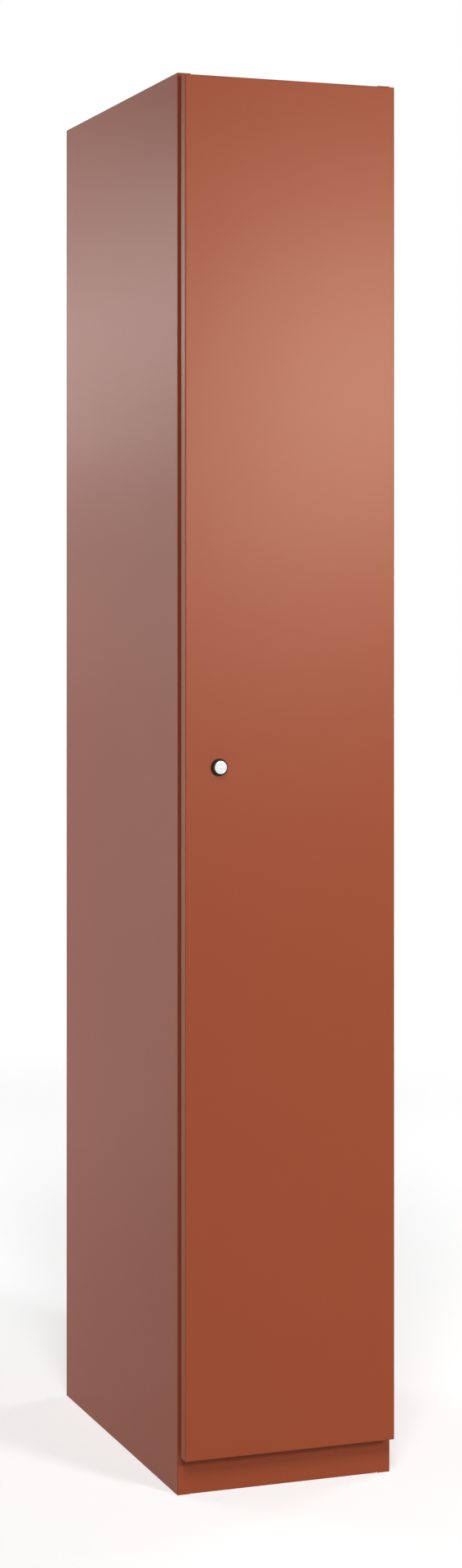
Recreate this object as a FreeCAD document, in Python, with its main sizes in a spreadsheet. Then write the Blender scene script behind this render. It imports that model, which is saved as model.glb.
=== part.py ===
"""Single steel locker: folded carcass, overlay door on hidden pin hinges, cam lock, coat rail and feet.

Millimetres. +Z is up, the door faces -Y and hangs on the +X side. Every piece is drawn in a frame whose
Y = 0 is the front plane of the carcass, and its Placement moves it to the middle of the whole depth.
"""
import FreeCAD, Part
import Sketcher
import math
import os
import re

SIZES = {
    # Overall
    "locker_width": 300,
    "carcass_depth": 500,
    "locker_height": 1850,
    # Folded sheet
    "sheet": 1.0,
    "bend_inside": 0.6,
    "bend_relief": 3.0,
    "relief_gap": 1.0,
    "tray_flange": 15,
    # Side panels
    "stile_width": 18,
    "stile_return": 15,
    "rear_flange": 20,
    "back_edge_gap": 1.0,
    # Plinth, floor and top
    "plinth_height": 65,
    "plinth_return": 15,
    "plinth_notch": 1.6,
    "floor_nose": 24,
    "nose_return": 11,
    "nose_overlap": 6,
    "top_drop": 1.0,
    "top_rail": 28,
    # Hat shelf and its angles
    "hat_height": 310,
    "shelf_nose": 20,
    "shelf_play": 0.4,
    "shelf_setback": 4,
    "angle_leg": 16,
    "angle_sheet": 1.5,
    "angle_setback": 24,
    # Coat rail and its hangers
    "rail_height": 30,
    "rail_width": 15,
    "rail_wall": 1.5,
    "rail_drop": 72,
    "rail_end_gap": 2.5,
    "hanger_sheet": 1.5,
    "hanger_gap": 1.5,
    "hanger_width": 46,
    "hanger_foot": 22,
    "hanger_play": 0.1,
    "hanger_corner": 18,
    # Coat hooks
    "hook_spacing": 70,
    "hook_width": 14,
    "hook_wall": 3.5,
    "hook_play": 0.35,
    "hook_trunk": 11,
    "hook_drop": 5,
    "hook_reach": 25,
    "hook_arm": 8,
    "hook_ball": 11,
    # Door
    "door_gap": 4.5,
    "door_thickness": 18,
    "door_inset": 2.8,
    "door_bottom": 49,
    "door_top_inset": 5,
    "door_return": 14,
    "stiffener_crown": 40,
    "stiffener_foot": 16,
    "stiffener_depth": 13,
    "stiffener_end_gap": 30,
    # Hinges
    "hinge_end": 150,
    "pin_from_edge": 7,
    "pin_from_back": 7,
    "pin_diameter": 4,
    "pin_head": 6.4,
    "pin_head_height": 1.0,
    "pin_peen": 5.2,
    "running_play": 0.05,
    "push_play": 0.02,
    "bush_wall": 1.0,
    "bush_collar": 1.2,
    "bush_collar_height": 0.8,
    "eye_diameter": 10,
    "lug_thickness": 3,
    "lug_neck": 8,
    "lug_play": 0.5,
    "leaf_width": 12,
    "leaf_height": 32,
    "door_slot_play": 1.0,
    "ear_thickness": 2,
    "ear_play": 0.3,
    "ear_width": 10,
    "bracket_base": 1.5,
    "bracket_height": 44,
    # Cylinder lock
    "lock_from_edge": 46.7,
    "collar_base": 22.5,
    "collar_front": 18.2,
    "collar_rim": 2.2,
    "collar_proud": 6.4,
    "collar_edge": 0.3,
    "face_proud": 6.7,
    "face_diameter": 16.8,
    "face_depth": 2.2,
    "face_edge": 0.5,
    "barrel_diameter": 18,
    "barrel_flats": 16,
    "plug_diameter": 13,
    "lock_hole_play": 0.15,
    "lock_nut_flats": 22,
    "lock_nut_height": 4,
    "keyway_width": 1.2,
    "keyway_bar": 5.4,
    "keyway_height": 5.6,
    "keyway_rise": 1.9,
    "keyway_depth": 9,
    "cam_clearance": 1.3,
    "cam_thickness": 2.5,
    "cam_width": 16,
    "cam_reach": 43,
    "cam_square": 7,
    "cam_play": 0.05,
    "lock_window": 72,
    "cam_screw_thread": 5,
    "cam_screw_length": 11,
    "cam_screw_head": 9.5,
    "cam_screw_head_height": 3,
    "cam_screw_key": 3,
    # Door buffers
    "buffer_head": 9,
    "buffer_edge": 1,
    "buffer_neck": 5,
    "buffer_bulb": 6.6,
    "buffer_bulb_length": 4,
    "buffer_play": 0.1,
    "buffer_door_play": 0.3,
    "buffer_end": 260,
    # Levelling feet and floor plugs
    "foot_side_inset": 26,
    "foot_end_inset": 50,
    "foot_pad": 30,
    "foot_pad_height": 7,
    "foot_thread": 8,
    "foot_length": 56,
    "foot_bevel": 1,
    "foot_slot_width": 1.4,
    "foot_slot_depth": 2.5,
    "foot_plate": 40,
    "foot_plate_sheet": 2,
    "foot_plate_level": 28,
    "foot_plate_skirt": 24,
    "foot_hole_play": 0.5,
    "nut_flats": 13,
    "nut_height": 6.5,
    "plug_hole": 12,
    "plug_head": 17,
    "plug_head_height": 1.8,
    "plug_stem": 5,
    "plug_play": 0.1,
    "plug_wall": 1.2,
    # Rivets and wall-fixing holes
    "rivet_diameter": 4,
    "rivet_head": 7,
    "rivet_head_height": 1.3,
    "rivet_tail": 5.4,
    "rivet_tail_length": 3,
    "rivet_play": 0.05,
    "rivet_rows": 6,
    "rivet_end": 110,
    "hanger_rivet_pitch": 26,
    "hanger_rivet_inset": 13,
    "wall_hole": 8,
    "wall_hole_spacing": 180,
    "wall_hole_drop": 60,
}

HALF = "(locker_width / 2)"
FRONT = "((door_gap + door_thickness - carcass_depth) / 2)"
INSIDE = "(locker_width / 2 - sheet)"
BACK_FACE = "(carcass_depth - 2 * sheet)"
OPENING = "(locker_width / 2 - stile_width)"
BEND_OUTSIDE = "(bend_inside + sheet)"
TOP = "(locker_height - top_drop)"
SHELF = "(locker_height - top_drop - hat_height)"
RAIL_LEVEL = "(locker_height - top_drop - hat_height - rail_drop)"
RAIL_MIDDLE = "(carcass_depth / 2)"
HANGER = "(locker_width / 2 - sheet - angle_leg - hanger_gap)"
DOOR_HALF = "(locker_width / 2 - door_inset)"
DOOR_FACE = "(-door_gap - door_thickness)"
DOOR_TOP = "(locker_height - door_top_inset)"
DOOR_MIDDLE = "((door_bottom + locker_height - door_top_inset) / 2)"
PIN_X = "(locker_width / 2 - door_inset - pin_from_edge)"
PIN_Y = "(-door_gap - pin_from_back)"
LOCK_X = "(-locker_width / 2 + door_inset + lock_from_edge)"
BARREL = "(door_thickness + door_gap + sheet + cam_clearance)"
HINGES = {
    "lower": "(door_bottom + hinge_end)",
    "middle": DOOR_MIDDLE,
    "upper": "(locker_height - door_top_inset - hinge_end)",
}
FOOT_X = "(locker_width / 2 - foot_side_inset)"
FEET = {
    "front_left": (-1, "foot_end_inset"),
    "front_right": (1, "foot_end_inset"),
    "rear_left": (-1, "(carcass_depth - foot_end_inset)"),
    "rear_right": (1, "(carcass_depth - foot_end_inset)"),
}
SIDES = {"left": -1, "right": 1}
BUFFER_LEVELS = ["(door_bottom + buffer_end)", "(locker_height - door_top_inset - buffer_end)"]
BACK_RIVET = "(locker_width / 2 - rear_flange / 2)"
HANGER_RIVET = f"({HANGER} - hanger_rivet_inset)"
HANGER_RIVETS = [
    (f"{side} * {HANGER_RIVET}", f"{RAIL_MIDDLE} + {end} * hanger_rivet_pitch / 2")
    for side in SIDES.values() for end in (-1, 1)
]
RIVET_HOLE = "rivet_diameter + 2 * rivet_play"

doc = FreeCAD.newDocument("single_locker")
dims = doc.addObject("Spreadsheet::Sheet", "dims")
for row, (alias, value) in enumerate(SIZES.items(), 1):
    dims.set(f"A{row}", alias)
    dims.set(f"B{row}", str(value))
    dims.setAlias(f"B{row}", alias)
doc.recompute()

pieces = []


# Shared steps of the modelling

def cells(formula):
    """The formula with each size's name turned into its cell in the sheet."""
    return re.sub(r"[a-z][a-z_]+", lambda word: f"dims.{word[0]}" if word[0] in SIZES else word[0], formula)


def bind(item, setting, formula):
    item.setExpression(setting, cells(formula))


def new_body(label, x="0", y="0", z="0", listed=True):
    body = doc.addObject("PartDesign::Body", label)
    body.Label = label
    bind(body, "Placement.Base.x", x)
    bind(body, "Placement.Base.y", f"{FRONT} + {y}")
    bind(body, "Placement.Base.z", z)
    if listed:
        pieces.append(body)
    return body


def new_group(label, bodies):
    group = doc.addObject("Part::Compound", label)
    group.Label = label
    group.Links = bodies
    pieces.append(group)


def new_sketch(body, plane, level):
    """An empty sketch on one of the body's origin planes, moved to a level on the axis square to it."""
    sketch = body.newObject("Sketcher::SketchObject", "Sketch")
    support = next(item for item in body.Origin.OriginFeatures if item.Role == f"{plane}_Plane")
    sketch.AttachmentSupport = [(support, "")]
    sketch.MapMode = "FlatFace"
    bind(sketch, "AttachmentOffset.Base.z", f"-({level})" if plane == "XZ" else level)
    return sketch


def fix_point(sketch, item, place, across, up):
    """Ties a point of the sketch to two formulas, starting from where it is drawn."""
    drawn = sketch.getPoint(item, place)
    for kind, start, formula in (("DistanceX", drawn.x, across), ("DistanceY", drawn.y, up)):
        number = sketch.addConstraint(Sketcher.Constraint(kind, -1, 1, item, place, start))
        bind(sketch, f"Constraints[{number}]", formula)


def fix_diameter(sketch, item, formula):
    number = sketch.addConstraint(Sketcher.Constraint("Diameter", item, 2.0))
    bind(sketch, f"Constraints[{number}]", formula)


def polygon(body, plane, level, corners):
    """A closed outline of straight lines through the corners."""
    sketch = new_sketch(body, plane, level)
    count = len(corners)
    ring = [
        FreeCAD.Vector(math.cos(2 * math.pi * i / count), math.sin(2 * math.pi * i / count), 0)
        for i in range(count)
    ]
    for i in range(count):
        sketch.addGeometry(Part.LineSegment(ring[i], ring[(i + 1) % count]))
    for i, (across, up) in enumerate(corners):
        sketch.addConstraint(Sketcher.Constraint("Coincident", i, 2, (i + 1) % count, 1))
        fix_point(sketch, i, 1, across, up)
    return sketch


def rectangle(body, plane, level, low, high):
    corners = [(low[0], low[1]), (high[0], low[1]), (high[0], high[1]), (low[0], high[1])]
    return polygon(body, plane, level, corners)


def circles(body, plane, level, centres, diameter):
    sketch = new_sketch(body, plane, level)
    for i, (across, up) in enumerate(centres):
        sketch.addGeometry(Part.Circle(FreeCAD.Vector(4 * i, 0, 0), FreeCAD.Vector(0, 0, 1), 1))
        fix_point(sketch, i, 3, across, up)
        fix_diameter(sketch, i, diameter)
    return sketch


def upright_slot(sketch, half_pitch, diameter):
    """A round-ended upright slot about the sketch's origin: two half circles and two straight walls."""
    first = sketch.GeometryCount
    axis = FreeCAD.Vector(0, 0, 1)
    top = Part.ArcOfCircle(Part.Circle(FreeCAD.Vector(0, 2, 0), axis, 1), 0, math.pi)
    bottom = Part.ArcOfCircle(Part.Circle(FreeCAD.Vector(0, -2, 0), axis, 1), math.pi, 2 * math.pi)
    left = Part.LineSegment(top.EndPoint, bottom.StartPoint)
    right = Part.LineSegment(bottom.EndPoint, top.StartPoint)
    for item in (top, left, bottom, right):
        sketch.addGeometry(item)
    for i in range(4):
        sketch.addConstraint(Sketcher.Constraint("Coincident", first + i, 2, first + (i + 1) % 4, 1))
    for wall, side, sign in ((first + 1, -1, 1), (first + 3, 1, -1)):
        fix_point(sketch, wall, 1, f"{side} * ({diameter}) / 2", f"{sign} * ({half_pitch})")
        fix_point(sketch, wall, 2, f"{side} * ({diameter}) / 2", f"{-sign} * ({half_pitch})")
    for cap, sign in ((first, 1), (first + 2, -1)):
        number = sketch.addConstraint(Sketcher.Constraint("DistanceY", -1, 1, cap, 3, 2.0 * sign))
        bind(sketch, f"Constraints[{number}]", f"{sign} * ({half_pitch})")
    return sketch


def extrude(kind, sketch, length, symmetric=False, reverse=False):
    body = sketch.getParentGeoFeatureGroup()
    feature = body.newObject(f"PartDesign::{kind}", kind)
    feature.Profile = sketch
    feature.SideType = "Symmetric" if symmetric else "One side"
    feature.Reversed = reverse
    bind(feature, "Length", length)
    sketch.Visibility = False
    return feature


def pad(sketch, length, symmetric=False, reverse=False):
    return extrude("Pad", sketch, length, symmetric, reverse)


def pocket(sketch, length, symmetric=True, reverse=False):
    """A cut that has to take material away: a cut that misses the piece stops the build."""
    body = sketch.getParentGeoFeatureGroup()
    doc.recompute()
    before = body.Tip.Shape.Volume
    feature = extrude("Pocket", sketch, length, symmetric, reverse)
    doc.recompute()
    if feature.Shape.Volume >= before:
        raise RuntimeError(f"a cut in {body.Label} misses it")
    return feature


def revolve(sketch, axis="V_Axis", angle=360, reverse=False):
    body = sketch.getParentGeoFeatureGroup()
    feature = body.newObject("PartDesign::Revolution", "Revolution")
    feature.Profile = sketch
    feature.ReferenceAxis = (sketch, [axis])
    feature.Angle = angle
    feature.Reversed = reverse
    return feature


def row_of(feature, span, count):
    """Repeats a feature upwards, evenly over the span."""
    body = feature.getParentGeoFeatureGroup()
    pattern = body.newObject("PartDesign::LinearPattern", "Row")
    pattern.Originals = [feature]
    pattern.Direction = (next(item for item in body.Origin.OriginFeatures if item.Role == "Z_Axis"), [""])
    bind(pattern, "Length", span)
    bind(pattern, "Occurrences", count)
    body.Tip = pattern


def round_corners(sketch, corners, radius):
    """Rounds the edges that an extruded outline leaves at its numbered corners."""
    doc.recompute()
    body = sketch.getParentGeoFeatureGroup()
    base = body.Tip
    normal = sketch.Placement.Rotation.multVec(FreeCAD.Vector(0, 0, 1))
    places = [sketch.Placement.multVec(sketch.Geometry[i].StartPoint) for i in corners]
    names = []
    for number, edge in enumerate(base.Shape.Edges, 1):
        start = edge.Vertexes[0].Point
        run = edge.Vertexes[-1].Point - start
        if run.Length == 0 or run.cross(normal).Length > 1e-6 * run.Length:
            continue
        if any((start - place).cross(normal).Length < 1e-4 for place in places):
            names.append(f"Edge{number}")
    fillet = body.newObject("PartDesign::Fillet", "Bend")
    fillet.Base = (base, names)
    bind(fillet, "Radius", radius)


# Carcass sheets

def side_panel(name, side):
    """Folded side: web, rear flange and front stile, whose return stops short of plinth and top rail."""
    body = new_body(f"{name}_side_panel")
    outer = f"{side} * {HALF}"
    inner = f"{side} * {INSIDE}"
    stile_edge = f"{side} * {OPENING}"
    return_inner = f"{side} * ({OPENING} + sheet)"
    bend_start = f"{side} * ({OPENING} + bend_relief)"
    flange_edge = f"{side} * ({HALF} - rear_flange)"
    rail_under = f"({TOP} - top_rail)"

    web = polygon(body, "XY", "0", [
        (flange_edge, "carcass_depth"), (outer, "carcass_depth"), (outer, "0"), (bend_start, "0"),
        (bend_start, "sheet"), (inner, "sheet"), (inner, "carcass_depth - sheet"),
        (flange_edge, "carcass_depth - sheet"),
    ])
    pad(web, "locker_height")
    round_corners(web, [1, 2], BEND_OUTSIDE)
    round_corners(web, [5, 6], "bend_inside")

    stile = polygon(body, "XY", "plinth_height + relief_gap", [
        (bend_start, "0"), (stile_edge, "0"), (stile_edge, "stile_return"), (return_inner, "stile_return"),
        (return_inner, "sheet"), (bend_start, "sheet"),
    ])
    pad(stile, f"{rail_under} - plinth_height - 2 * relief_gap")
    round_corners(stile, [1], BEND_OUTSIDE)
    round_corners(stile, [4], "bend_inside")
    for low, height in (("0", "plinth_height"), (rail_under, f"locker_height - {rail_under}")):
        pad(rectangle(body, "XY", low, (bend_start, "0"), (stile_edge, "sheet")), height)

    place = (f"{side} * {BACK_RIVET}", "rivet_end")
    hole = circles(body, "XZ", "carcass_depth - sheet / 2", [place], RIVET_HOLE)
    row_of(pocket(hole, "3 * sheet"), "locker_height - 2 * rivet_end", "rivet_rows")
    return body


def left_side_panel():
    """The lock's side: a window in the return lets the cam in, and two holes hold the door buffers."""
    body = side_panel("left", SIDES["left"])
    window = rectangle(
        body, "YZ", f"-({OPENING} + sheet / 2)",
        ("sheet + bend_inside", f"{DOOR_MIDDLE} - lock_window / 2"),
        ("stile_return + sheet", f"{DOOR_MIDDLE} + lock_window / 2"))
    pocket(window, "3 * sheet")
    places = [("stile_width / 2 - locker_width / 2", level) for level in BUFFER_LEVELS]
    pocket(circles(body, "XZ", "sheet / 2", places, "buffer_neck"), "3 * sheet")


def right_side_panel():
    """The hinge side: three slots in the stile let the hinge lugs through."""
    body = side_panel("right", SIDES["right"])
    across = "(lug_neck / 2 + lug_play)"
    up = "(lug_thickness / 2 + lug_play)"
    for level in HINGES.values():
        slot = rectangle(
            body, "XZ", "sheet / 2",
            (f"{PIN_X} - {across}", f"{level} - {up}"), (f"{PIN_X} + {across}", f"{level} + {up}"))
        pocket(slot, "3 * sheet")


def back_panel():
    """Flat sheet against the rear flanges, with two holes for screws into a wall."""
    body = new_body("back_panel")
    edge = f"({INSIDE} - back_edge_gap)"
    sheet = rectangle(body, "XZ", BACK_FACE, (f"-{edge}", "0"), (edge, TOP))
    pad(sheet, "sheet", reverse=True)
    middle = f"{BACK_FACE} + sheet / 2"
    wall = [(f"{side} * wall_hole_spacing / 2", f"{TOP} - wall_hole_drop") for side in SIDES.values()]
    pocket(circles(body, "XZ", middle, wall, "wall_hole"), "3 * sheet")
    rivets = [(f"{side} * {BACK_RIVET}", "rivet_end") for side in SIDES.values()]
    holes = circles(body, "XZ", middle, rivets, RIVET_HOLE)
    row_of(pocket(holes, "3 * sheet"), "locker_height - 2 * rivet_end", "rivet_rows")


def folded_tray(label, half, front, back, top, nose):
    """Sheet folded down at sides and back, with relieved corners and a nose folded down and in again."""
    body = new_body(label)
    nose_half, nose_front, nose_height = nose
    under = f"({top} - sheet)"
    foot = f"({top} - tray_flange)"
    web = polygon(body, "XZ", front, [
        (f"-{half}", foot), (f"-{half}", top), (half, top), (half, foot), (f"{half} - sheet", foot),
        (f"{half} - sheet", under), (f"sheet - {half}", under), (f"sheet - {half}", foot),
    ])
    pad(web, f"{back} - {front}", reverse=True)
    round_corners(web, [1, 2], "sheet")

    corner = f"({half} - bend_relief)"
    for low, high in ((front, f"{front} + bend_relief"), (f"{back} - bend_relief", back)):
        for side in SIDES.values():
            edge = f"{side} * ({half} + sheet)"
            notch = rectangle(body, "XY", top, (f"{side} * {corner}", low), (edge, high))
            pocket(notch, "3 * tray_flange")

    rear = rectangle(body, "XZ", f"{back} - sheet", (f"-{corner}", foot), (corner, top))
    pad(rear, "sheet", reverse=True)

    nose_foot = f"({top} - {nose_height})"
    bend = polygon(body, "YZ", "0", [
        (f"{front} + nose_overlap", top), (nose_front, top), (nose_front, nose_foot),
        (f"{nose_front} + nose_return", nose_foot), (f"{nose_front} + nose_return", f"{nose_foot} + sheet"),
        (f"{nose_front} + sheet", f"{nose_foot} + sheet"), (f"{nose_front} + sheet", under),
        (f"{front} + nose_overlap", under),
    ])
    pad(bend, f"2 * {nose_half}", symmetric=True)
    round_corners(bend, [1], "sheet")
    round_corners(bend, [2], BEND_OUTSIDE)
    round_corners(bend, [5], "bend_inside")
    return body


def top_panel():
    """Tray between the sides. Its nose is the top rail of the door opening, flush with the stiles."""
    folded_tray("top_panel", INSIDE, "sheet", BACK_FACE, TOP, (OPENING, "0", "top_rail"))


def floor_panel():
    """Tray between the sides, behind the plinth front, with an access hole over each levelling foot."""
    body = folded_tray(
        "floor_panel", INSIDE, "sheet", BACK_FACE, "plinth_height", (OPENING, "sheet", "floor_nose"))
    places = [(f"{side} * {FOOT_X}", depth) for side, depth in FEET.values()]
    pocket(circles(body, "XY", "plinth_height - sheet / 2", places, "plug_hole"), "3 * sheet")


def plinth_front():
    """Sheet between the stiles with its foot folded back, notched beside the bend at both ends."""
    body = new_body("plinth_front")
    sheet = polygon(body, "YZ", "0", [
        ("0", "plinth_height"), ("0", "0"), ("plinth_return", "0"), ("plinth_return", "sheet"),
        ("sheet", "sheet"), ("sheet", "plinth_height"),
    ])
    pad(sheet, f"2 * {OPENING}", symmetric=True)
    round_corners(sheet, [1], BEND_OUTSIDE)
    round_corners(sheet, [4], "bend_inside")
    for side in SIDES.values():
        notch = rectangle(
            body, "XZ", "0", (f"{side} * ({OPENING} - plinth_notch)", "-sheet"),
            (f"{side} * ({OPENING} + sheet)", "plinth_notch"))
        pocket(notch, "3 * plinth_return")


# Hat shelf and coat rail

def hat_shelf():
    """Tray that rests on the two angles, with rivet holes for the rail hangers."""
    half = f"({INSIDE} - shelf_play)"
    front = "(stile_return + shelf_setback)"
    body = folded_tray(
        "hat_shelf", half, front, f"({BACK_FACE} - shelf_play)", SHELF,
        (f"({half} - bend_relief)", front, "shelf_nose"))
    pocket(circles(body, "XY", f"{SHELF} - sheet / 2", HANGER_RIVETS, RIVET_HOLE), "3 * sheet")


def shelf_angle(name, side):
    """Angle welded to the side's web. The shelf's side flange stands on its upper leg."""
    body = new_body(f"shelf_angle_{name}")
    top = f"({SHELF} - tray_flange)"
    wall = f"{side} * {INSIDE}"
    tip = f"{side} * ({INSIDE} - angle_leg)"
    thin = f"{side} * ({INSIDE} - angle_sheet)"
    profile = polygon(body, "XZ", "stile_return + angle_setback", [
        (wall, top), (tip, top), (tip, f"{top} - angle_sheet"), (thin, f"{top} - angle_sheet"),
        (thin, f"{top} - angle_leg"), (wall, f"{top} - angle_leg"),
    ])
    pad(profile, f"{BACK_FACE} - stile_return - 2 * angle_setback", reverse=True)
    round_corners(profile, [3], "bend_inside")


def rail_hanger(name, side):
    """Bent bracket: a foot riveted under the shelf and a cheek with an oval hole for the rail's end."""
    body = new_body(f"rail_hanger_{name}", y=RAIL_MIDDLE, z=RAIL_LEVEL)
    top = "(rail_drop - sheet)"
    outer = f"{side} * {HANGER}"
    inner = f"{side} * ({HANGER} - hanger_sheet)"
    tip = f"{side} * ({HANGER} - hanger_foot)"
    foot = "(-hanger_width / 2)"
    profile = polygon(body, "XZ", "0", [
        (outer, top), (tip, top), (tip, f"{top} - hanger_sheet"), (inner, f"{top} - hanger_sheet"),
        (inner, foot), (outer, foot),
    ])
    pad(profile, "hanger_width", symmetric=True)
    round_corners(profile, [0], "bend_inside + hanger_sheet")
    round_corners(profile, [3], "bend_inside")
    cheek = rectangle(
        body, "YZ", f"{side} * ({HANGER} - hanger_sheet / 2)",
        ("-hanger_width / 2", foot), ("hanger_width / 2", "0"))
    pad(cheek, "hanger_sheet", symmetric=True)
    round_corners(cheek, [0, 1], "hanger_corner")
    hole = upright_slot(
        new_sketch(body, "YZ", f"{side} * ({HANGER} - hanger_sheet / 2)"),
        "(rail_height - rail_width) / 2", "rail_width + 2 * hanger_play")
    pocket(hole, "3 * hanger_sheet")
    places = [(f"{side} * {HANGER_RIVET}", f"{end} * hanger_rivet_pitch / 2") for end in (-1, 1)]
    pocket(circles(body, "XY", f"{top} - hanger_sheet / 2", places, RIVET_HOLE), "3 * hanger_sheet")


def coat_rail():
    """Oval steel tube across the compartment, held by its ends in the hangers."""
    body = new_body("coat_rail", y=RAIL_MIDDLE, z=RAIL_LEVEL)
    tube = new_sketch(body, "YZ", "0")
    half_pitch = "(rail_height - rail_width) / 2"
    upright_slot(tube, half_pitch, "rail_width")
    upright_slot(tube, half_pitch, "rail_width - 2 * rail_wall")
    pad(tube, f"2 * ({INSIDE} - rail_end_gap)", symmetric=True)


def coat_hook(name, place):
    """Moulded double hook: a loop round the rail, a trunk and an anchor of two arms with ball tips."""
    body = new_body(f"coat_hook_{name}", x=f"{place} * hook_spacing", y=RAIL_MIDDLE, z=RAIL_LEVEL)
    half_pitch = "(rail_height - rail_width) / 2"
    bore = "(rail_width + 2 * hook_play)"
    root = "(-rail_height / 2 - hook_play - hook_wall - hook_drop)"
    trunk = rectangle(
        body, "YZ", "0", ("-hook_trunk / 2", f"{root} - hook_reach"),
        ("hook_trunk / 2", "-rail_height / 2 + hook_wall"))
    pad(trunk, "hook_width", symmetric=True)
    loop = upright_slot(new_sketch(body, "YZ", "0"), half_pitch, f"{bore} + 2 * hook_wall")
    pad(loop, "hook_width", symmetric=True)
    pocket(upright_slot(new_sketch(body, "YZ", "0"), half_pitch, bore), "2 * hook_width")
    arms = circles(body, "XY", root, [("0", "-hook_reach")], "hook_arm")
    revolve(arms, "H_Axis", 180)
    for end in SIDES.values():
        tip = body.newObject("PartDesign::AdditiveSphere", "Tip")
        bind(tip, "Radius", "hook_ball / 2")
        bind(tip, "Placement.Base.y", f"{end} * hook_reach")
        bind(tip, "Placement.Base.z", root)


def rivet(x, y, z, plane, shank):
    """Blind rivet turned in the plane: domed head, shank through two sheets and its upset tail."""
    body = new_body("rivet", x, y, z, listed=False)
    profile = polygon(body, plane, "0", [
        ("0", "rivet_head_height"), ("rivet_head / 4", "rivet_head_height"),
        ("rivet_head / 2", "rivet_head_height / 3"), ("rivet_head / 2", "0"),
        ("rivet_diameter / 2", "0"), ("rivet_diameter / 2", f"-{shank}"), ("rivet_tail / 2", f"-{shank}"),
        ("rivet_tail / 2", f"-{shank} - rivet_tail_length * 0.7"), ("0", f"-{shank} - rivet_tail_length"),
    ])
    revolve(profile)
    return body


def hanger_rivets():
    grip = "(sheet + hanger_sheet)"
    new_group("hanger_rivets", [rivet(x, y, SHELF, "XZ", grip) for x, y in HANGER_RIVETS])


def back_rivets():
    step = "((locker_height - 2 * rivet_end) / (rivet_rows - 1))"
    new_group("back_rivets", [
        rivet(f"{side} * {BACK_RIVET}", "carcass_depth", f"rivet_end + {row} * {step}", "XY", "2 * sheet")
        for side in SIDES.values() for row in range(int(SIZES["rivet_rows"]))
    ])


# Feet in the plinth

def foot_bracket(name, side, depth):
    """Inverted angle welded to the side's web. Its plate carries the weld nut of one foot."""
    body = new_body(f"foot_bracket_{name}", x=f"{side} * {FOOT_X}", y=depth)
    wall = f"{side} * (foot_side_inset - sheet)"
    thin = f"{side} * (foot_side_inset - sheet - foot_plate_sheet)"
    tip = f"{side} * (foot_side_inset - sheet - foot_plate)"
    under = "(foot_plate_level - foot_plate_sheet)"
    skirt = "(foot_plate_level - foot_plate_skirt)"
    profile = polygon(body, "XZ", "0", [
        (wall, "foot_plate_level"), (tip, "foot_plate_level"), (tip, under),
        (thin, under), (thin, skirt), (wall, skirt),
    ])
    pad(profile, "foot_plate", symmetric=True)
    round_corners(profile, [3], "bend_inside")
    middle = "foot_plate_level - foot_plate_sheet / 2"
    hole = circles(body, "XY", middle, [("0", "0")], "foot_thread + 2 * foot_hole_play")
    pocket(hole, "3 * foot_plate_sheet")


def hexagon(body, plane, level, flats):
    corner = f"({flats} / sqrt(3))"
    half = f"({flats} / 2)"
    return polygon(body, plane, level, [
        (half, f"-{corner} / 2"), (half, f"{corner} / 2"), ("0", corner),
        (f"-{half}", f"{corner} / 2"), (f"-{half}", f"-{corner} / 2"), ("0", f"-{corner}"),
    ])


def foot_nuts():
    nuts = []
    for side, depth in FEET.values():
        body = new_body("foot_nut", f"{side} * {FOOT_X}", depth, "foot_plate_level", listed=False)
        pad(hexagon(body, "XY", "0", "nut_flats"), "nut_height")
        thread = circles(body, "XY", "nut_height / 2", [("0", "0")], "foot_thread + 2 * running_play")
        pocket(thread, "2 * nut_height")
        nuts.append(body)
    new_group("foot_nuts", nuts)


def levelling_foot(name, side, depth):
    """Screw foot: a chamfered pad, a collar and a threaded stem slotted for a screwdriver from above."""
    body = new_body(f"levelling_foot_{name}", x=f"{side} * {FOOT_X}", y=depth)
    revolve(polygon(body, "XZ", "0", [
        ("0", "0"), ("foot_pad / 2 - foot_bevel", "0"), ("foot_pad / 2", "foot_bevel"),
        ("foot_pad / 2", "foot_pad_height / 2"), ("foot_thread", "foot_pad_height"),
        ("foot_thread / 2", "foot_pad_height"), ("foot_thread / 2", "foot_length - foot_bevel"),
        ("foot_thread / 2 - foot_bevel", "foot_length"), ("0", "foot_length"),
    ]))
    slot = rectangle(
        body, "XZ", "0", ("-foot_slot_width / 2", "foot_length - foot_slot_depth"),
        ("foot_slot_width / 2", "foot_length + foot_slot_depth"))
    pocket(slot, "2 * foot_thread")


def floor_plugs():
    plugs = []
    for side, depth in FEET.values():
        body = new_body("floor_plug", f"{side} * {FOOT_X}", depth, "plinth_height", listed=False)
        stem = "(plug_hole / 2 - plug_play)"
        revolve(polygon(body, "XZ", "0", [
            ("0", "plug_head_height"), ("plug_head / 4", "plug_head_height"),
            ("plug_head / 2", "plug_head_height / 3"), ("plug_head / 2", "0"), (stem, "0"),
            (stem, "-plug_stem"), (f"{stem} - plug_wall", "-plug_stem"),
            (f"{stem} - plug_wall", "0"), ("0", "0"),
        ]))
        plugs.append(body)
    new_group("floor_plugs", plugs)


# Door and its hinges

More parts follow.
